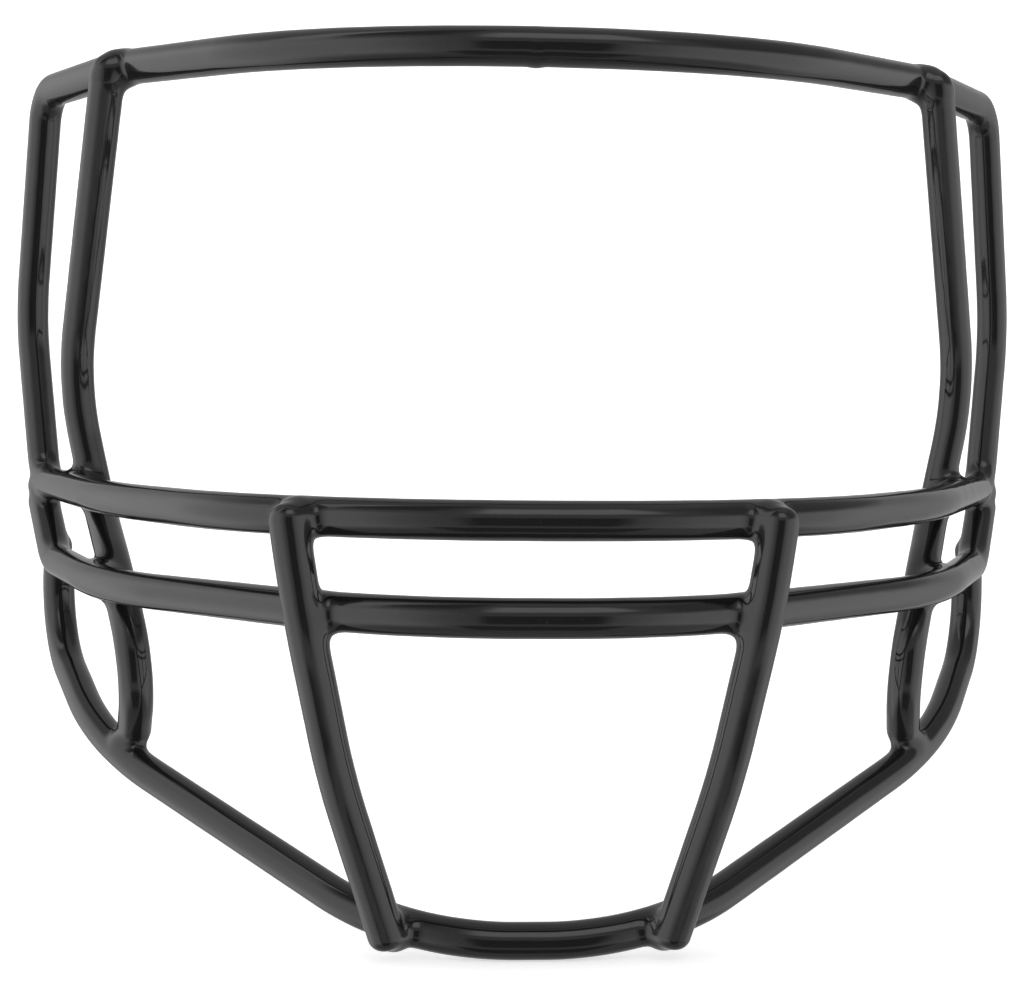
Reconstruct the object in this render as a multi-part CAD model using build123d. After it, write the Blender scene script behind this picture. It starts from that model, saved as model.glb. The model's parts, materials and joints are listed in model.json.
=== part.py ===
from build123d import *
import math
import os

# American football face guard: bent steel wires, resistance welded into an open
# cage and dipped in one continuous polymer coat.
#
# Frame: millimetres. +X is to the right for someone who faces the guard, +Y points
# back towards the wearer's face and +Z points up. The guard is symmetric about the
# plane X = 0, and the origin is the centre of its box.
#
# Every wire is given by the corner points of its centre line, with a bend radius at
# each inner corner. A wire that crosses the front is given from the middle outwards
# on the +X side only.

# ---- driving dimensions ----------------------------------------------------------
WIRE_DIAMETER = 6.35
COAT_THICKNESS = 0.65
END_ROUNDING = 2.4

# Frame wire: one loop of brow bar, temple returns, side uprights and upper bar.
FRAME_HALF = (
    (39.2, -44.3, 82.5),
    (91.4, 15.5, 91.2),
    (118.4, 57.7, 94.8),
    (125.5, 68.1, 39.9),
    (120.3, 59.7, -1.9),
    (91.0, -2.3, -6.1),
    (45.8, -64.5, -9.1),
)
FRAME_BENDS = (84.0, 14.0, 8.5, 45.0, 9.0, 200.0, 84.0)

# Lower bar: crosses the front and turns up behind the feet of the side uprights.
LOWER_BAR_HALF = (
    (27.8, -67.1, -27.1),
    (92.9, -1.2, -25.2),
    (114.2, 44.2, -21.2),
    (121.4, 61.2, -5.7),
)
LOWER_BAR_BENDS = (61.0, 120.0, 15.0)

# Jaw wire: runs under the chin and up to the heels of the lower bar.
JAW_WIRE_HALF = (
    (25.3, -41.5, -94.3),
    (97.7, 16.9, -62.4),
    (116.9, 56.1, -41.3),
    (115.7, 54.3, -20.2),
)
JAW_WIRE_BENDS = (58.0, 90.0, 24.0)

# Side wire: from the front of the brow corner, behind both bars, to the jaw wire.
SIDE_WIRE = (
    (93.6, 10.7, 89.4),
    (108.1, 37.9, 21.6),
    (101.7, 36.3, -8.5),
    (92.0, 10.6, -25.0),
    (85.5, -1.4, -44.8),
    (89.5, 13.2, -60.3),
)
SIDE_WIRE_BENDS = (45.0, 18.0, 60.0, 16.0)

# Front wire: stands in front of both bars and ends in front of the jaw wire.
FRONT_WIRE = (
    (46.7, -59.2, -6.8),
    (44.1, -59.8, -25.1),
    (38.4, -48.8, -59.8),
    (28.2, -42.1, -94.8),
)
FRONT_WIRE_BENDS = (70.0, 110.0)

# Welds: fused steel around each crossing, and the butt weld that closes the frame.
WELD_RADIUS = 3.7
BUTT_GAP = 0.4
BEAD_RADIUS = 3.5
BEAD_WIDTH = 2.4
BEAD_ROUNDING = 0.3
BEAD_DROP = 0.2

WIRE_RADIUS = WIRE_DIAMETER / 2
COATED_RADIUS = WIRE_RADIUS + COAT_THICKNESS
SIDES = {"left": -1, "right": 1}
EYE_LEVEL = 40.0


# ---- centre lines ---------------------------------------------------------------------
def mirrored(point):
    return (-point[0], point[1], point[2])


def corner_turn(before, corner, after, radius):
    """Start, middle and end of the arc that rounds a corner."""
    back = (before - corner).normalized()
    ahead = (after - corner).normalized()
    half_turn = math.radians(180 - back.get_angle(ahead)) / 2
    setback = radius * math.tan(half_turn)
    crown = radius * (1 / math.cos(half_turn) - 1)
    middle = corner + (back + ahead).normalized() * crown
    return corner + back * setback, middle, corner + ahead * setback


def bent_path(points, bends):
    """Straight runs between the corner points, joined by tangent arcs."""
    corners = [Vector(*point) for point in points]
    edges = []
    run_start = corners[0]
    for before, corner, after, radius in zip(corners, corners[1:], corners[2:], bends):
        arc_start, arc_middle, arc_end = corner_turn(before, corner, after, radius)
        edges.append(Edge.make_line(run_start, arc_start))
        edges.append(Edge.make_three_point_arc(arc_start, arc_middle, arc_end))
        run_start = arc_end
    edges.append(Edge.make_line(run_start, corners[-1]))
    return Wire(edges)


def crossing_path(half, bends):
    """Path of a wire that crosses the front, from its +X half."""
    points = [mirrored(point) for point in reversed(half)] + list(half)
    return bent_path(points, list(reversed(bends)) + list(bends))


def frame_path():
    """The loop, from one face of the butt gap at the middle of the brow bar to the other."""
    shoulder = FRAME_HALF[0]
    butt = (BUTT_GAP / 2, shoulder[1], shoulder[2])
    inner = list(FRAME_HALF) + [mirrored(point) for point in reversed(FRAME_HALF)]
    points = [butt] + inner + [mirrored(butt)]
    return bent_path(points, list(FRAME_BENDS) + list(reversed(FRAME_BENDS)))


def side_path(points, bends, side):
    """Path of a wire that stands on one side only, side being +1 or -1."""
    return bent_path([(side * x, y, z) for x, y, z in points], bends)


# ---- solids ----------------------------------------------------------------------------
def swept_bar(path, radius):
    section = Plane(origin=path @ 0, z_dir=path % 0) * Circle(radius)
    return sweep(section, path=path)


def round_ended_bar(path):
    """Steel wire along a path, with both cut ends rounded over."""
    bar = swept_bar(path, WIRE_RADIUS)
    tips = (path @ 0, path @ 1)
    rims = [
        edge
        for edge in bar.edges().filter_by(GeomType.CIRCLE)
        if min((edge.arc_center - tip).length for tip in tips) < 0.01
    ]
    return fillet(rims, END_ROUNDING)


def coated_bar(path):
    """Outside of the coat on a wire: thicker all round, and domed over each cut end."""
    rounding = END_ROUNDING + COAT_THICKNESS
    depth = rounding + COAT_THICKNESS
    cap = Cylinder(COATED_RADIUS, depth, align=(Align.CENTER, Align.CENTER, Align.MAX))
    cap = Pos(0, 0, COAT_THICKNESS) * fillet(cap.edges().sort_by(Axis.Z)[-1], rounding)
    start = Plane(origin=path @ 0, z_dir=-(path % 0))
    finish = Plane(origin=path @ 1, z_dir=path % 1)
    return swept_bar(path, COATED_RADIUS) + start * cap + finish * cap


def wire_paths():
    paths = {
        "frame_wire": frame_path(),
        "lower_bar": crossing_path(LOWER_BAR_HALF, LOWER_BAR_BENDS),
        "jaw_wire": crossing_path(JAW_WIRE_HALF, JAW_WIRE_BENDS),
    }
    for name, side in SIDES.items():
        paths["side_wire_" + name] = side_path(SIDE_WIRE, SIDE_WIRE_BENDS, side)
        paths["front_wire_" + name] = side_path(FRONT_WIRE, FRONT_WIRE_BENDS, side)
    return paths


def steel_wires(paths):
    """Seven wires. Where two are pressed together, the later one is dented."""
    wires = {"frame_wire": swept_bar(paths["frame_wire"], WIRE_RADIUS)}
    for name, path in paths.items():
        if name not in wires:
            wires[name] = round_ended_bar(path)
    for first, second, _ in contacts().values():
        wires[second] = wires[second] - wires[first]
    return wires


def contacts():
    """Each weld's two wires, and the side it is on."""
    pairs = {}
    for name, side in SIDES.items():
        side_wire = "side_wire_" + name
        front_wire = "front_wire_" + name
        pairs["weld_frame_foot_" + name] = ("frame_wire", "lower_bar", side)
        pairs["weld_jaw_heel_" + name] = ("lower_bar", "jaw_wire", side)
        pairs["weld_brow_corner_" + name] = ("frame_wire", side_wire, side)
        pairs["weld_side_to_upper_bar_" + name] = ("frame_wire", side_wire, side)
        pairs["weld_side_to_lower_bar_" + name] = ("lower_bar", side_wire, side)
        pairs["weld_side_to_jaw_" + name] = ("jaw_wire", side_wire, side)
        pairs["weld_front_to_upper_bar_" + name] = ("frame_wire", front_wire, side)
        pairs["weld_front_to_lower_bar_" + name] = ("lower_bar", front_wire, side)
        pairs["weld_front_to_jaw_" + name] = ("jaw_wire", front_wire, side)
    return pairs


def meeting(first, second, side, high):
    """Plane midway between two paths where they pass closest, on one side, low or high."""
    near = [
        edge
        for edge in first.edges()
        if edge.center().X * side > 1 and (edge.center().Z > EYE_LEVEL) == high
    ]
    closest = min(near, key=second.distance_to)
    here, there = closest.closest_points(second)
    return Plane(origin=(here + there) / 2, z_dir=there - here)


def weld_planes(paths):
    return {
        name: meeting(paths[first], paths[second], side, high="brow" in name)
        for name, (first, second, side) in contacts().items()
    }


def butt_bead(growth=0.0):
    """Round bead about the middle of the brow bar, a little proud below."""
    shoulder = FRAME_HALF[0]
    disc = Cylinder(BEAD_RADIUS + growth, BEAD_WIDTH + 2 * growth, rotation=(0, 90, 0))
    disc = fillet(disc.edges().filter_by(GeomType.CIRCLE), BEAD_ROUNDING)
    return Pos(0, shoulder[1], shoulder[2] - BEAD_DROP) * disc


def welds(planes, wires):
    """Rings of fused steel: a ball at each crossing, less the two wires through it."""
    made = {"butt_weld": butt_bead() - wires["frame_wire"]}
    for name, (first, second, _) in contacts().items():
        made[name] = planes[name] * Sphere(WELD_RADIUS) - wires[first] - wires[second]
    return made


def coat(paths, planes, steel):
    """The dipped skin: one shell over every wire and weld."""
    outside = swept_bar(paths["frame_wire"], COATED_RADIUS)
    for name, path in paths.items():
        if name != "frame_wire":
            outside += coated_bar(path)
    for plane in planes.values():
        outside += plane * Sphere(WELD_RADIUS + COAT_THICKNESS)
    outside += butt_bead(growth=COAT_THICKNESS)
    return outside - steel


# ---- the assembly ----------------------------------------------------------------------
def assembly():
    paths = wire_paths()
    planes = weld_planes(paths)
    parts = steel_wires(paths)
    parts.update(welds(planes, parts))
    parts["coat"] = coat(paths, planes, list(parts.values()))
    return parts


os.makedirs("parts", exist_ok=True)
for node, solid in assembly().items():
    export_step(solid, "parts/" + node + ".step")
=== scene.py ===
import json
import math

import bmesh
import bpy
import numpy as np
from mathutils import Matrix, Vector
from mathutils.kdtree import KDTree


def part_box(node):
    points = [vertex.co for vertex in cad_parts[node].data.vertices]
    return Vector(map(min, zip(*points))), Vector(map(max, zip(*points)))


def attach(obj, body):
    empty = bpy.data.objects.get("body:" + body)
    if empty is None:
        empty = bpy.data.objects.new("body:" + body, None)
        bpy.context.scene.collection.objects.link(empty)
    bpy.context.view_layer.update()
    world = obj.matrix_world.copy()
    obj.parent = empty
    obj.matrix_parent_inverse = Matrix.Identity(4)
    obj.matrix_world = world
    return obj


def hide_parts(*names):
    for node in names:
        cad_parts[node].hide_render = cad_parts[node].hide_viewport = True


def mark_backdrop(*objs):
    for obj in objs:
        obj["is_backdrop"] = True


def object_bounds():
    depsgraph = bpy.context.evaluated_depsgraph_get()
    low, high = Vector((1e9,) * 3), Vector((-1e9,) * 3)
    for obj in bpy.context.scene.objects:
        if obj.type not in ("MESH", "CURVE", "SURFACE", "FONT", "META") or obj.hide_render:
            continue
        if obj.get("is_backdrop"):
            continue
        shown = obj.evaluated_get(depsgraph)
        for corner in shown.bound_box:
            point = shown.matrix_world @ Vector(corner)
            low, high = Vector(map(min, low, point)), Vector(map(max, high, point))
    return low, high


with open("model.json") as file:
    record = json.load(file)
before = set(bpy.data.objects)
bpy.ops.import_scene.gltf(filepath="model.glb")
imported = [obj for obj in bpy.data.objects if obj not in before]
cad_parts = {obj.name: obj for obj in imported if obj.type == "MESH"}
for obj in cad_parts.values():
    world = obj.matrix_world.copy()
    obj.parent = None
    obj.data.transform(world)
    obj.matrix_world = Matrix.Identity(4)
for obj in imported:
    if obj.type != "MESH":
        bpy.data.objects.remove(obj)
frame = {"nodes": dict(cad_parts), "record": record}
cad_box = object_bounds()

# The looks of a football face guard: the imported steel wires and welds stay, and one
# continuous dipped coat is built over them. Lengths are in metres.
MM = 0.001

WIRES = (
    "frame_wire",
    "lower_bar",
    "jaw_wire",
    "side_wire_left",
    "side_wire_right",
    "front_wire_left",
    "front_wire_right",
)
WELDS = [name for name in frame["nodes"] if name.startswith("weld_")]
CLOSED_WIRE = "frame_wire"

# ---- reading the wires' centre lines ---------------------------------------------------
RING_FLATNESS = (0.2 * MM, 0.02 * MM, 0.01 * MM)
RING_LEAST = 12
RING_ROUNDNESS = 0.2
RADIUS_ERROR = 0.01 * MM
RING_SPREAD = 0.35 * MM
RING_GAP = 0.1 * MM
LONGEST_RUN = 120 * MM
LEAST_AHEAD = 0.5
SAMPLE_STEP = 1.0 * MM
WELD_VICINITY = 12 * MM
BATCH = 4000

# ---- coat dimensions ---------------------------------------------------------------
STEEL_RADIUS = 3.175 * MM
COATED_RADIUS = frame["record"]["mounts"][0]["dims"]["r_mm"] * MM
COAT = COATED_RADIUS - STEEL_RADIUS
END_FACE_RADIUS = 1.1 * STEEL_RADIUS
FAR = 3 * COATED_RADIUS
END_ROUNDING = 3.05 * MM
WELD_BALL = 4.05 * MM
WEB_SPREAD = 19 * MM
WEB_BLEND = 6.6 * MM
PLAIN_BLEND = 0.5 * MM
BALL_BLEND = 1.5 * MM
BEAD_BALL = 3.86 * MM
BRIDGE_RADIUS = 3.35 * MM
BRIDGE_BLEND = 3.0 * MM
RIPPLE = 0.018 * MM

# ---- meshing of the coat -----------------------------------------------------------
VOXEL = 0.7 * MM
TUBE_SIDES = 20
TUBE_STRIDE = 2
TUBE_OVERLAP = 3
PROBE = 0.02 * MM
FITTING_TURNS = 6
RELAXING_TURNS = 3
RELAXING = 0.6


# ---- centre lines, read from the CAD wires -----------------------------------------------
def corner_data(node):
    """Position and normal of every face corner of a CAD node."""
    mesh = frame["nodes"][node].data
    places = np.zeros(len(mesh.vertices) * 3)
    mesh.vertices.foreach_get("co", places)
    normals = np.zeros(len(mesh.loops) * 3)
    mesh.corner_normals.foreach_get("vector", normals)
    owners = np.zeros(len(mesh.loops), int)
    mesh.loops.foreach_get("vertex_index", owners)
    return places.reshape(-1, 3)[owners], normals.reshape(-1, 3)


def circle_through(places):
    """Centre, axis and radius of the circle that most of the places lie on."""
    places = np.unique(np.round(places, 8), axis=0)
    for limit in RING_FLATNESS:
        if len(places) < RING_LEAST:
            return None
        middle = places.mean(0)
        _, axes = np.linalg.eigh((places - middle).T @ (places - middle))
        axis = axes[:, 0]
        height = (places - middle) @ axis
        places = places[np.abs(height - np.median(height)) < limit]
    if len(places) < RING_LEAST:
        return None
    middle = places.mean(0)
    spread, axes = np.linalg.eigh((places - middle).T @ (places - middle))
    flat = (places - middle) @ axes[:, 1:]
    system = np.column_stack([2 * flat, np.ones(len(flat))])
    (u, v, rest), *_ = np.linalg.lstsq(system, (flat**2).sum(1), rcond=None)
    if spread[1] < RING_ROUNDNESS * spread.sum():
        return None
    return middle + axes[:, 1:] @ np.array([u, v]), axes[:, 0], math.sqrt(rest + u * u + v * v)


def wire_rings(node):
    """Centre and axis of each ring of vertices round a wire."""
    places, normals = corner_data(node)
    centres = places - normals * STEEL_RADIUS
    tree = KDTree(len(centres))
    for index, centre in enumerate(centres):
        tree.insert(centre, index)
    tree.balance()
    taken = np.zeros(len(centres), bool)
    rings = []
    for index in range(len(centres)):
        if taken[index]:
            continue
        near = [found[1] for found in tree.find_range(centres[index], RING_SPREAD)]
        taken[near] = True
        circle = circle_through(places[near])
        if circle is None or abs(circle[2] - STEEL_RADIUS) > RADIUS_ERROR:
            continue
        gaps = [np.linalg.norm(circle[0] - ring[0]) for ring in rings]
        if not gaps or min(gaps) > RING_GAP:
            rings.append(circle[:2])
    return rings


def chain(rings):
    """The rings in order along the wire, their axes turned to point along it.

    The walk goes one way from the first ring, then turns round and goes the other way.
    """
    left = list(rings)
    ordered = [left.pop(0)]
    for _ in range(2):
        while left:
            place, axis = ordered[-1]
            ahead = []
            for index, (other, _) in enumerate(left):
                step = other - place
                if step @ axis > LEAST_AHEAD * np.linalg.norm(step):
                    ahead.append((np.linalg.norm(step), index))
            if not ahead or min(ahead)[0] > LONGEST_RUN:
                break
            place_next, axis_next = left.pop(min(ahead)[1])
            ordered.append((place_next, axis_next * np.sign(axis_next @ axis)))
        ordered = [(place, -axis) for place, axis in reversed(ordered)]
    return ordered


def smooth_run(start, finish):
    """Points along the arc or line between two neighbouring rings, without the last."""
    (p0, t0), (p1, t1) = start, finish
    chord = np.linalg.norm(p1 - p0)
    turn = math.acos(min(1.0, max(-1.0, float(t0 @ t1))))
    pull = chord / math.cos(turn / 4) ** 2
    count = max(1, round(chord / SAMPLE_STEP))
    u = (np.arange(count) / count)[:, None]
    return (
        (2 * u**3 - 3 * u**2 + 1) * p0
        + (u**3 - 2 * u**2 + u) * pull * t0
        + (3 * u**2 - 2 * u**3) * p1
        + (u**3 - u**2) * pull * t1
    )


def run_out(places, rings, end, sign):
    """The end ring moved to where the coat's rounded tip starts, and kept too if that is far."""
    centre, axis = rings[end]
    axial = (places - centre) @ axis * sign
    radial = np.linalg.norm(places - centre - np.outer(axial * sign, axis), axis=1)
    further = axial[radial < END_FACE_RADIUS].max() + COAT - END_ROUNDING
    moved = (centre + sign * axis * further, axis)
    if further < SAMPLE_STEP:
        return [moved]
    return [moved, rings[end]] if sign < 0 else [rings[end], moved]


class CentreLine:
    """Dense points of one wire's centre line, with directions and bends.

    An open wire's line stops one rounding short of the coat's tip at each end.
    """

    def __init__(self, node):
        self.closed = node == CLOSED_WIRE
        rings = chain(wire_rings(node))
        if not self.closed:
            places = corner_data(node)[0]
            rings = run_out(places, rings, 0, -1) + rings[1:-1] + run_out(places, rings, -1, 1)
        ends = rings + rings[:1] if self.closed else rings
        runs = [smooth_run(a, b) for a, b in zip(ends, ends[1:])]
        if not self.closed:
            runs.append(rings[-1][0][None, :])
        self.points = np.concatenate(runs)
        following = np.roll(self.points, -1, 0)
        previous = np.roll(self.points, 1, 0)
        if not self.closed:
            following[-1] = 2 * self.points[-1] - self.points[-2]
            previous[0] = 2 * self.points[0] - self.points[1]
        ahead = following - self.points
        behind = self.points - previous
        step_ahead = np.linalg.norm(ahead, axis=1, keepdims=True)
        step_behind = np.linalg.norm(behind, axis=1, keepdims=True)
        ahead /= step_ahead
        behind /= step_behind
        along = ahead + behind
        self.along = along / np.linalg.norm(along, axis=1, keepdims=True)
        self.bend = (ahead - behind) / ((step_ahead + step_behind) / 2)

    def steel_points(self):
        """The same points, run on to the ends of the steel."""
        if self.closed:
            return self.points
        beyond = np.linspace(0, END_ROUNDING - COAT, 5)[1:, None]
        start = self.points[0] - self.along[0] * beyond[::-1]
        finish = self.points[-1] + self.along[-1] * beyond
        return np.concatenate([start, self.points, finish])

    def nearest(self, spots):
        """Index of the closest centre-line point to each spot."""
        found = np.zeros(len(spots), int)
        for first in range(0, len(spots), BATCH):
            part = spots[first : first + BATCH]
            gap = (self.points**2).sum(1)[None, :] - 2 * part @ self.points.T
            found[first : first + BATCH] = gap.argmin(1)
        return found

    def distance(self, spots, index):
        """Distance from each spot to the coated wire's surface, negative inside."""
        away = spots - self.points[index]
        along = self.along[index]
        bend = self.bend[index]
        advance = (away * along).sum(1) / (1 - (away * bend).sum(1))
        advance = np.clip(advance, -SAMPLE_STEP, SAMPLE_STEP)
        foot = along * advance[:, None] + bend * (advance**2)[:, None] / 2
        result = np.linalg.norm(away - foot, axis=1) - COATED_RADIUS
        if self.closed:
            return result
        for end, sign in ((0, -1), (len(self.points) - 1, 1)):
            axial = (away * along).sum(1)
            radial = np.linalg.norm(away - along * axial[:, None], axis=1)
            side = radial - (COATED_RADIUS - END_ROUNDING)
            past = (index == end) & (sign * axial > 0)
            rounded = np.hypot(np.maximum(side, 0), axial) - END_ROUNDING
            result = np.where(past, rounded, result)
        return result


def weld_ends(node, lines):
    """Where the two wires that a weld joins pass closest, one point on each centre line."""
    low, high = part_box(node)
    guess = np.array((low + high) / 2)
    runs = [line.steel_points() for line in lines]
    runs.sort(key=lambda run: np.linalg.norm(run - guess, axis=1).min())
    near = [run[np.linalg.norm(run - guess, axis=1) < WELD_VICINITY] for run in runs[:2]]
    first, second = near
    gaps = np.linalg.norm(first[:, None] - second[None, :], axis=2)
    i, j = np.unravel_index(gaps.argmin(), gaps.shape)
    return first[i], second[j]


class Joins:
    """Centres of all the weld balls, the filled brow corners, and the butt weld's bead."""

    def __init__(self, lines):
        ends = {node: weld_ends(node, lines) for node in WELDS}
        self.centres = np.array([(first + second) / 2 for first, second in ends.values()])
        self.bridges = [ends[node] for node in WELDS if "brow" in node]
        low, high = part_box("butt_weld")
        self.bead = np.array((low + high) / 2)

    def distance(self, spots):
        """Distance from each spot to the nearest weld centre."""
        result = np.full(len(spots), np.inf)
        for centre in self.centres:
            result = np.minimum(result, np.linalg.norm(spots - centre, axis=1))
        return result

    def bridged(self, spots, result):
        """The field with each brow corner filled from one centre line to the other."""
        for start, finish in self.bridges:
            span = finish - start
            share = np.clip((spots - start) @ span / (span @ span), 0, 1)
            away = spots - start - share[:, None] * span
            shape = np.linalg.norm(away, axis=1) - BRIDGE_RADIUS
            result = blended(result, shape, BRIDGE_BLEND)
        return result


# ---- the coat's surface as a smooth field --------------------------------------------------
def ripple(spots):
    """Slow unevenness of a dipped coat, between -1 and 1."""
    x, y, z = (spots / MM).T
    waves = np.sin(0.43 * x + 0.31 * z + 1.1) * np.sin(0.37 * y - 0.29 * z)
    waves += 0.7 * np.sin(0.71 * z - 0.23 * x) * np.sin(0.53 * x + 0.47 * y + 2.0)
    return waves / 1.7


def close_lines(spots, lines):
    """For each centre line, the rows of the spots close to it and their nearest points."""
    found = []
    for line in lines:
        index = line.nearest(spots)
        away = np.linalg.norm(spots - line.points[index], axis=1)
        rows = np.nonzero(away < FAR)[0]
        found.append((line, rows, index[rows]))
    return found


def blended(first, second, reach):
    """Smooth union of two distances, which merge where they differ by less than the reach."""
    overlap = np.maximum(1 - np.abs(first - second) / reach, 0)
    return np.minimum(first, second) - overlap**3 * reach / 6


def field(spots, close, joins):
    """Distance-like field of the whole coat, with soft webs at the welds."""
    to_weld = joins.distance(spots)
    closeness = np.clip(1 - to_weld / WEB_SPREAD, 0, 1)
    closeness = closeness**2 * (3 - 2 * closeness)
    reach = PLAIN_BLEND + (WEB_BLEND - PLAIN_BLEND) * closeness
    result = np.full(len(spots), FAR)
    for line, rows, index in close:
        shape = line.distance(spots[rows], index)
        result[rows] = blended(result[rows], shape, reach[rows])
    result = joins.bridged(spots, result)
    result = blended(result, np.linalg.norm(spots - joins.bead, axis=1) - BEAD_BALL, PLAIN_BLEND)
    result = blended(result, to_weld - WELD_BALL, BALL_BLEND)
    return result - RIPPLE * ripple(spots)


def gradient(spots, close, joins):
    result = np.zeros_like(spots)
    for axis in range(3):
        shift = np.zeros(3)
        shift[axis] = PROBE
        high = field(spots + shift, close, joins)
        low = field(spots - shift, close, joins)
        result[:, axis] = (high - low) / (2 * PROBE)
    return result


# ---- the coat's mesh ------------------------------------------------------------------------
def tube_ring(soup, place, axis):
    """Vertices of one ring round a centre line."""
    turn = Vector(axis).to_track_quat("Z", "Y").to_matrix()
    ring = []
    for step in range(TUBE_SIDES):
        angle = 2 * math.pi * step / TUBE_SIDES
        spoke = turn @ Vector((math.cos(angle), math.sin(angle), 0))
        ring.append(soup.verts.new(Vector(place) + spoke * COATED_RADIUS))
    return ring


def join_rings(soup, ring, following):
    """Faces from one ring to the next, started at the vertices that are closest."""
    gaps = [(vertex.co - ring[0].co).length for vertex in following]
    first = gaps.index(min(gaps))
    for step in range(TUBE_SIDES):
        quad = (
            ring[step],
            ring[(step + 1) % TUBE_SIDES],
            following[(first + step + 1) % TUBE_SIDES],
            following[(first + step) % TUBE_SIDES],
        )
        soup.faces.new(quad)


def add_tube(soup, line):
    """Closed tube along a centre line; a closed wire's tube runs on past its own start."""
    picks = list(range(0, len(line.points), TUBE_STRIDE))
    if line.closed:
        picks += picks[:TUBE_OVERLAP]
    places = list(line.points[picks])
    axes = list(line.along[picks])
    if not line.closed:
        places.insert(0, line.points[0] - line.along[0] * END_ROUNDING)
        axes.insert(0, line.along[0])
        places.append(line.points[-1] + line.along[-1] * END_ROUNDING)
        axes.append(line.along[-1])
    rings = [tube_ring(soup, place, axis) for place, axis in zip(places, axes)]
    for ring, following in zip(rings, rings[1:]):
        join_rings(soup, ring, following)
    soup.faces.new(list(reversed(rings[0])))
    soup.faces.new(rings[-1])


def tube_mesh(lines, welds):
    """Rough tubes and balls, to be remeshed into one skin."""
    soup = bmesh.new()
    for line in lines:
        add_tube(soup, line)
    for centre in welds:
        place = Matrix.Translation(Vector(centre))
        bmesh.ops.create_icosphere(soup, subdivisions=3, radius=WELD_BALL, matrix=place)
    bmesh.ops.recalc_face_normals(soup, faces=soup.faces)
    mesh = bpy.data.meshes.new("coat_rough")
    soup.to_mesh(mesh)
    soup.free()
    return mesh


def remeshed(mesh):
    rough = bpy.data.objects.new("coat_rough", mesh)
    bpy.context.scene.collection.objects.link(rough)
    remesh = rough.modifiers.new("voxels", "REMESH")
    remesh.mode = "VOXEL"
    remesh.voxel_size = VOXEL
    shape = rough.evaluated_get(bpy.context.evaluated_depsgraph_get())
    result = bpy.data.meshes.new_from_object(shape)
    bpy.data.objects.remove(rough)
    return result


def relaxed(spots, edges, counts):
    """Each point moved to the middle of its neighbours."""
    total = np.zeros_like(spots)
    np.add.at(total, edges[:, 0], spots[edges[:, 1]])
    np.add.at(total, edges[:, 1], spots[edges[:, 0]])
    return total / counts[:, None]


def fitted(spots, edges, lines, joins):
    """The spots laid on the coat's surface and evened out, with the surface's normals."""
    counts = np.bincount(edges.ravel(), minlength=len(spots))
    for turn in range(FITTING_TURNS):
        if turn % 2 == 0:
            close = close_lines(spots, lines)
        slope = gradient(spots, close, joins)
        off = field(spots, close, joins)
        spots = spots - slope * (off / (slope**2).sum(1))[:, None]
        if turn < RELAXING_TURNS:
            shift = relaxed(spots, edges, counts) - spots
            normal = slope / np.linalg.norm(slope, axis=1, keepdims=True)
            shift -= normal * (shift * normal).sum(1)[:, None]
            spots = spots + RELAXING * shift
    slope = gradient(spots, close_lines(spots, lines), joins)
    return spots, slope / np.linalg.norm(slope, axis=1, keepdims=True)


def dipped_coat():
    """One skin over all the wires, every vertex laid exactly on the coat's surface."""
    lines = [CentreLine(node) for node in WIRES]
    joins = Joins(lines)
    mesh = remeshed(tube_mesh(lines, joins.centres))
    spots = np.zeros(len(mesh.vertices) * 3)
    mesh.vertices.foreach_get("co", spots)
    edges = np.zeros(len(mesh.edges) * 2, int)
    mesh.edges.foreach_get("vertices", edges)
    spots, normals = fitted(spots.reshape(-1, 3), edges.reshape(-1, 2), lines, joins)
    mesh.vertices.foreach_set("co", spots.ravel())
    mesh.update()
    mesh.polygons.foreach_set("use_smooth", np.ones(len(mesh.polygons), bool))
    mesh.normals_split_custom_set_from_vertices(normals.tolist())
    coat = bpy.data.objects.new("dipped_coat", mesh)
    bpy.context.scene.collection.objects.link(coat)
    return coat


# ---- materials ------------------------------------------------------------------------------
class Nodes:
    """Short way to add and link shader nodes."""

    def __init__(self, tree):
        self.tree = tree
        tree.nodes.clear()

    def add(self, kind, inputs=None, **settings):
        node = self.tree.nodes.new(kind)
        for key, value in settings.items():
            setattr(node, key, value)
        for key, value in (inputs or {}).items():
            if isinstance(value, bpy.types.NodeSocket):
                self.tree.links.new(value, node.inputs[key])
            else:
                node.inputs[key].default_value = value
        return node


def new_material(name):
    material = bpy.data.materials.new(name)
    material.use_nodes = True
    return material, Nodes(material.node_tree)


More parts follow.
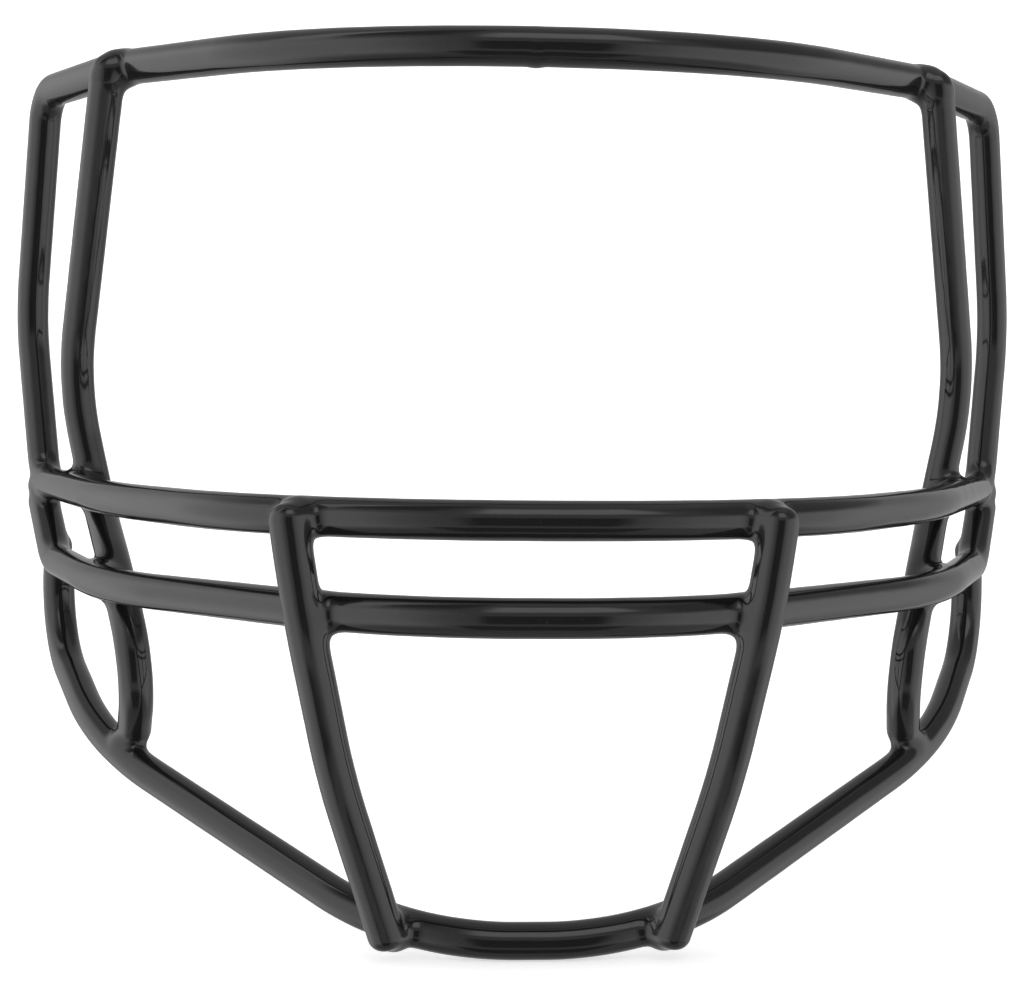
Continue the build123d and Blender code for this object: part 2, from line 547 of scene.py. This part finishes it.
def coat_material():
    """Glossy black polymer with faint orange peel, haze and a little dust."""
    material, nodes = new_material("gloss_black_coat")
    place = nodes.add("ShaderNodeTexCoord").outputs["Object"]
    haze = nodes.add("ShaderNodeTexNoise", {"Vector": place, "Scale": 60.0, "Detail": 4.0})
    rough = nodes.add(
        "ShaderNodeMapRange",
        {
            "Value": haze.outputs["Fac"],
            "From Min": 0.3,
            "From Max": 0.7,
            "To Min": 0.05,
            "To Max": 0.10,
        },
    )
    dust = nodes.add("ShaderNodeTexNoise", {"Vector": place, "Scale": 2600.0, "Detail": 2.0})
    specks = nodes.add(
        "ShaderNodeMapRange", {"Value": dust.outputs["Fac"], "From Min": 0.69, "From Max": 0.8}
    )
    tone = nodes.add(
        "ShaderNodeMix",
        {
            "Factor": specks.outputs["Result"],
            "A": (0.009, 0.009, 0.010, 1),
            "B": (0.035, 0.035, 0.037, 1),
        },
        data_type="RGBA",
    )
    peel = nodes.add("ShaderNodeTexNoise", {"Vector": place, "Scale": 420.0, "Detail": 1.0})
    bump = nodes.add(
        "ShaderNodeBump",
        {"Height": peel.outputs["Fac"], "Strength": 0.5, "Distance": 0.00002},
    )
    shader = nodes.add(
        "ShaderNodeBsdfPrincipled",
        {
            "Base Color": tone.outputs["Result"],
            "Roughness": rough.outputs["Result"],
            "IOR": 1.52,
            "Normal": bump.outputs["Normal"],
        },
    )
    nodes.add("ShaderNodeOutputMaterial", {"Surface": shader.outputs["BSDF"]})
    return material


def steel_material(name, light, dark, rough):
    """Drawn or fused steel: streaky, slightly oxidised metal."""
    material, nodes = new_material(name)
    place = nodes.add("ShaderNodeTexCoord").outputs["Object"]
    streaks = nodes.add("ShaderNodeTexNoise", {"Vector": place, "Scale": 900.0, "Detail": 6.0})
    tone = nodes.add(
        "ShaderNodeMix",
        {"Factor": streaks.outputs["Fac"], "A": dark, "B": light},
        data_type="RGBA",
    )
    bump = nodes.add(
        "ShaderNodeBump", {"Height": streaks.outputs["Fac"], "Strength": 0.3, "Distance": 0.00005}
    )
    shader = nodes.add(
        "ShaderNodeBsdfPrincipled",
        {
            "Base Color": tone.outputs["Result"],
            "Metallic": 1.0,
            "Roughness": rough,
            "Normal": bump.outputs["Normal"],
        },
    )
    nodes.add("ShaderNodeOutputMaterial", {"Surface": shader.outputs["BSDF"]})
    return material


def floor_material():
    material, nodes = new_material("pale_floor")
    shader = nodes.add(
        "ShaderNodeBsdfPrincipled",
        {
            "Base Color": (0.82, 0.82, 0.82, 1),
            "Roughness": 0.9,
            "Emission Color": (1.0, 1.0, 1.0, 1),
            "Emission Strength": 0.6,
        },
    )
    nodes.add("ShaderNodeOutputMaterial", {"Surface": shader.outputs["BSDF"]})
    return material


def give(obj, material):
    obj.data.materials.clear()
    obj.data.materials.append(material)


# ---- studio -----------------------------------------------------------------------------------
FLOOR_REACH = 6.0
BACKDROP_PLACE = 2.5
BACKDROP_HEIGHT = 3.0
BACKDROP_BEND = 1.2
BEND_STEPS = 12


def studio_floor(top):
    """Pale floor that curves up into a backdrop."""
    flat_end = BACKDROP_PLACE - BACKDROP_BEND
    profile = [(-FLOOR_REACH, 0.0), (flat_end, 0.0)]
    for step in range(1, BEND_STEPS + 1):
        angle = math.pi / 2 * step / BEND_STEPS
        along = flat_end + BACKDROP_BEND * math.sin(angle)
        profile.append((along, BACKDROP_BEND - BACKDROP_BEND * math.cos(angle)))
    profile.append((BACKDROP_PLACE, BACKDROP_HEIGHT))
    vertices = [(x, y, z + top) for y, z in profile for x in (-FLOOR_REACH, FLOOR_REACH)]
    faces = [(2 * i, 2 * i + 1, 2 * i + 3, 2 * i + 2) for i in range(len(profile) - 1)]
    mesh = bpy.data.meshes.new("studio_floor")
    mesh.from_pydata(vertices, [], faces)
    mesh.polygons.foreach_set("use_smooth", [True] * len(faces))
    floor = bpy.data.objects.new("studio_floor", mesh)
    bpy.context.scene.collection.objects.link(floor)
    give(floor, floor_material())
    floor.visible_glossy = False
    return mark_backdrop(floor)


# Soft white panels and dark gaps of the light tent, each from one azimuth to another and
# from one height to another, with the width of its soft edges and its level. Degrees;
# azimuth 0 is in front of the guard and 90 to its right. Later panels lie over earlier ones.
TENT_LEVEL = 0.5
PANELS = (
    ("left wall", (-128, -35), (-46, 36), (22, 12), 1.5),
    ("right wall", (37, 116), (-38, 20), (22, 8), 1.35),
    ("left strip", (-90, -66), (30, 72), (6, 8), 1.35),
    ("roof light", (-13, 40), (37, 66), (6, 5), 1.65),
    ("left roof gap", (-70, -27), (50, 84), (7, 7), 0.18),
    ("right roof gap", (55, 140), (25, 60), (8, 5), 0.3),
    ("table", (-200, 200), (-100, -60), (1, 10), 0.36),
    ("camera opening", (-14, 24), (-29, 16), (4, 4), 0.07),
    ("table opening", (-28, 38), (-66, -40), (5, 4), 0.07),
)


def window(nodes, value, limits, edge):
    """1 between the two limits, 0 outside, with soft edges."""
    low, high = (math.radians(limit) for limit in limits)
    soft = math.radians(edge)
    rise = nodes.add(
        "ShaderNodeMapRange",
        {"Value": value, "From Min": low - soft, "From Max": low + soft},
        interpolation_type="SMOOTHSTEP",
    )
    fall = nodes.add(
        "ShaderNodeMapRange",
        {
            "Value": value,
            "From Min": high - soft,
            "From Max": high + soft,
            "To Min": 1.0,
            "To Max": 0.0,
        },
        interpolation_type="SMOOTHSTEP",
    )
    return times(nodes, rise.outputs["Result"], fall.outputs["Result"])


def times(nodes, first, second):
    product = nodes.add("ShaderNodeMath", {0: first, 1: second}, operation="MULTIPLY")
    return product.outputs["Value"]


def light_tent():
    """White light tent; the coat reflects its panels and gaps, the camera sees plain white."""
    world = bpy.data.worlds.new("light_tent")
    world.use_nodes = True
    bpy.context.scene.world = world
    nodes = Nodes(world.node_tree)
    direction = nodes.add("ShaderNodeTexCoord").outputs["Generated"]
    split = nodes.add("ShaderNodeSeparateXYZ", {"Vector": direction})
    forward = times(nodes, split.outputs["Y"], -1.0)
    azimuth = nodes.add("ShaderNodeMath", {0: split.outputs["X"], 1: forward}, operation="ARCTAN2")
    height = nodes.add("ShaderNodeMath", {0: split.outputs["Z"]}, operation="ARCSINE")
    level = TENT_LEVEL
    for _, across, up, (edge_across, edge_up), panel_level in PANELS:
        inside = times(
            nodes,
            window(nodes, azimuth.outputs["Value"], across, edge_across),
            window(nodes, height.outputs["Value"], up, edge_up),
        )
        panel = nodes.add("ShaderNodeMix", {"Factor": inside, "A": level, "B": panel_level})
        level = panel.outputs["Result"]
    seen = nodes.add("ShaderNodeLightPath").outputs["Is Camera Ray"]
    strength = nodes.add("ShaderNodeMix", {"Factor": seen, "A": level, "B": 1.0})
    glow = nodes.add(
        "ShaderNodeBackground", {"Color": (1.0, 1.0, 1.0, 1), "Strength": strength.outputs["Result"]}
    )
    nodes.add("ShaderNodeOutputWorld", {"Surface": glow.outputs["Background"]})


# Camera: place in metres, turns in degrees, lens in millimetres, shift in frame widths.
CAMERA_PLACE = (-0.01217, -0.38265, -0.0036)
CAMERA_YAW, CAMERA_PITCH, CAMERA_ROLL = 2.778, -3.496, 0.429
CAMERA_LENS = 60.25
CAMERA_SHIFT = (-0.0409, 0.1030)
SENSOR_WIDTH = 36.0
NEAREST_SEEN = 0.01
SAME_PLACE = 0.0001


def studio_camera():
    data = bpy.data.cameras.new("camera")
    data.lens = CAMERA_LENS
    data.sensor_width = SENSOR_WIDTH
    data.clip_start = NEAREST_SEEN
    camera = bpy.data.objects.new("camera", data)
    bpy.context.scene.collection.objects.link(camera)
    turn = Matrix.Rotation(math.radians(-CAMERA_YAW), 4, "Z")
    tilt = Matrix.Rotation(math.radians(90 + CAMERA_PITCH), 4, "X")
    roll = Matrix.Rotation(math.radians(CAMERA_ROLL), 4, "Z")
    camera.matrix_world = Matrix.Translation(CAMERA_PLACE) @ turn @ tilt @ roll
    for name, shift in zip(("shift_x", "shift_y"), CAMERA_SHIFT):
        lens_shift(camera, name, shift)
    bpy.context.scene.camera = camera


def lens_shift(camera, name, shift):
    """Lens shift that belongs to this one camera place, and is off anywhere else."""
    driver = camera.data.driver_add(name).driver
    driver.type = "SCRIPTED"
    depth = driver.variables.new()
    depth.name = "depth"
    depth.targets[0].id = camera
    depth.targets[0].data_path = "location.y"
    driver.expression = f"{shift} if abs(depth - {CAMERA_PLACE[1]}) < {SAME_PLACE} else 0.0"


# ---- build --------------------------------------------------------------------------------------
steel = steel_material("drawn_steel", (0.62, 0.62, 0.63, 1), (0.40, 0.40, 0.42, 1), 0.34)
fused = steel_material("fused_steel", (0.45, 0.42, 0.38, 1), (0.16, 0.17, 0.21, 1), 0.48)
for node, obj in frame["nodes"].items():
    give(obj, fused if "weld" in node else steel)

coat = dipped_coat()
give(coat, coat_material())
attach(coat, "root")
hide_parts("coat")

studio_floor(cad_box[0].z)
light_tent()
studio_camera()
bpy.context.scene.view_settings.view_transform = "Standard"
